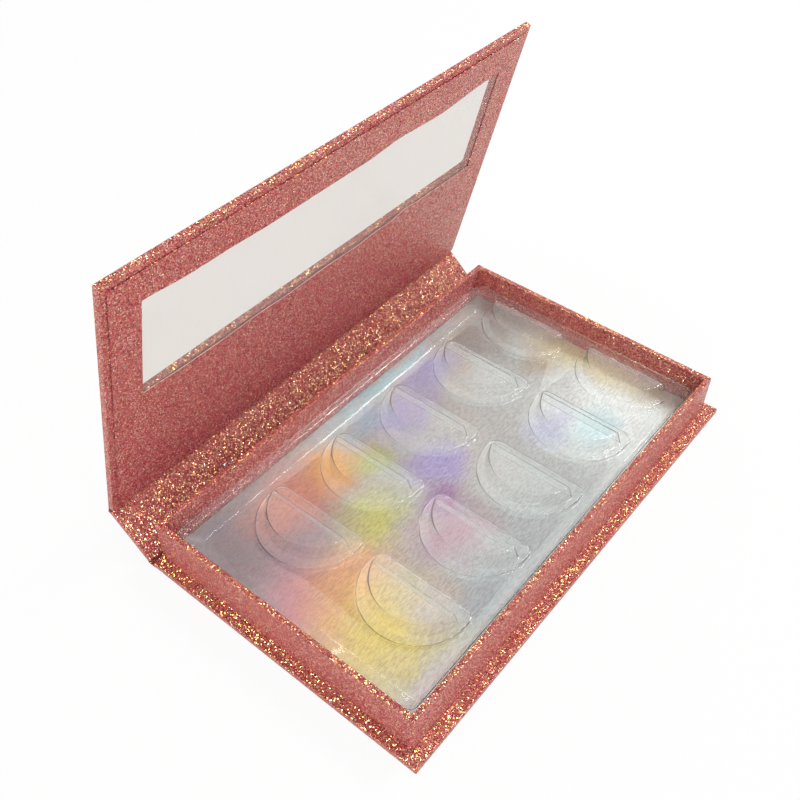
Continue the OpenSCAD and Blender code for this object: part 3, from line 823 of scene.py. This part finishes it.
# A white tent, brighter at its sides than at its roof. The camera, also through the clear plastic, sees plain white.
world = bpy.data.worlds.new("studio")
bpy.context.scene.world = world
world.use_nodes = True
world.node_tree.nodes.clear()
path = node(world, "ShaderNodeLightPath")
direct = node(world, "ShaderNodeMath", {"operation": "LESS_THAN", 1: 0.5}, {0: path.outputs["Diffuse Depth"]})
through = node(world, "ShaderNodeMath", {"operation": "MULTIPLY"},
               {0: path.outputs["Is Transmission Ray"], 1: direct.outputs[0]})
seen = node(world, "ShaderNodeMath", {"operation": "ADD"}, {0: path.outputs["Is Camera Ray"], 1: through.outputs[0]})
height = node(world, "ShaderNodeSeparateXYZ", links={0: node(world, "ShaderNodeTexCoord").outputs["Generated"]})
tent = node(world, "ShaderNodeMapRange", {"To Min": 1.2, "To Max": 0.36}, {"Value": height.outputs[2]})
strength = node(world, "ShaderNodeMix", {3: 1.0}, {0: seen.outputs[0], 2: tent.outputs[0]})
light = node(world, "ShaderNodeBackground", {"Color": (1, 1, 1, 1)}, {"Strength": strength.outputs[0]})
node(world, "ShaderNodeOutputWorld", links={"Surface": light.outputs[0]})


def softbox(name, place_at, aim, size, power, lit_only=None):
    """A softbox of two sides and a power in watts. lit_only is a collection whose gloss alone shows it."""
    data = bpy.data.lights.new(name, "AREA")
    data.shape, data.size, data.size_y = "RECTANGLE", *size
    data.energy = power
    made = bpy.data.objects.new(name, data)
    bpy.context.scene.collection.objects.link(made)
    made.location = place_at
    made.rotation_mode = "QUATERNION"
    made.rotation_quaternion = (Vector(aim) - Vector(place_at)).to_track_quat("-Z", "Y")
    made.visible_transmission = False
    if lit_only is not None:
        made.visible_diffuse = False
        made.light_linking.receiver_collection = lit_only


def group(name, pieces):
    """A collection of pieces, outside the scene's own tree."""
    made = bpy.data.collections.new(name)
    for piece in pieces:
        made.objects.link(piece)
    return made


PAPERS = group("glitter_papers", [piece for piece in bpy.data.objects if piece.type == "MESH" and
                                  piece.data.materials and piece.data.materials[0] == GLITTER])
PLASTICS = group("clear_plastics", [bpy.data.objects["clear_inlay"]])
MIDDLE = (0, 0, 0)
softbox("key_softbox", (0.46, -0.115, 0.71), MIDDLE, (0.17, 0.17), 2.3)
# Two that light up the flakes of the papers, but not the card and the inlay, which stay free of glare
softbox("glint_softbox_right", (0.46, -0.22, 0.66), MIDDLE, (0.38, 0.38), 4.6, PAPERS)
softbox("glint_softbox_left", (-0.35, 0.1, 0.85), MIDDLE, (0.38, 0.38), 12.5, PAPERS)
# Two that draw the bright lines along the inlay's rounded edges
softbox("edge_softbox_right", (0.75, 0.38, 0.34), MIDDLE, (0.6, 0.2), 2.6, PLASTICS)
softbox("edge_softbox_front", (0.34, -0.3, 0.6), (0.34, 0, 0), (0.8, 0.07), 4.2, PLASTICS)
softbox("side_fill", (-0.9, -0.55, 0.4), (0, 0, 0.03), (0.6, 0.4), 2.4)

# The camera's place, turn and lens were fitted to the corners of the case in the photograph
VIEW_FROM = (-0.185662, -0.125358, 0.269123)
AZIMUTH, ELEVATION, ROLL = (math.radians(v) for v in (-50.952, 45.504, 0.407))
view = bpy.data.cameras.new("camera")
view.lens, view.sensor_width = 44.79, 36
view.clip_start, view.clip_end = 0.01, 20
camera = bpy.data.objects.new("camera", view)
bpy.context.scene.collection.objects.link(camera)
back = Vector((math.sin(AZIMUTH) * math.cos(ELEVATION), -math.cos(AZIMUTH) * math.cos(ELEVATION),
               math.sin(ELEVATION)))
level_right = (-back).cross(Vector((0, 0, 1))).normalized()
level_up = level_right.cross(-back)
right = math.cos(ROLL) * level_right + math.sin(ROLL) * level_up
up = -math.sin(ROLL) * level_right + math.cos(ROLL) * level_up
camera.matrix_world = Matrix.Translation(VIEW_FROM) @ Matrix((right, up, back)).transposed().to_4x4()
bpy.context.scene.camera = camera
bpy.context.scene.view_settings.view_transform = "Standard"
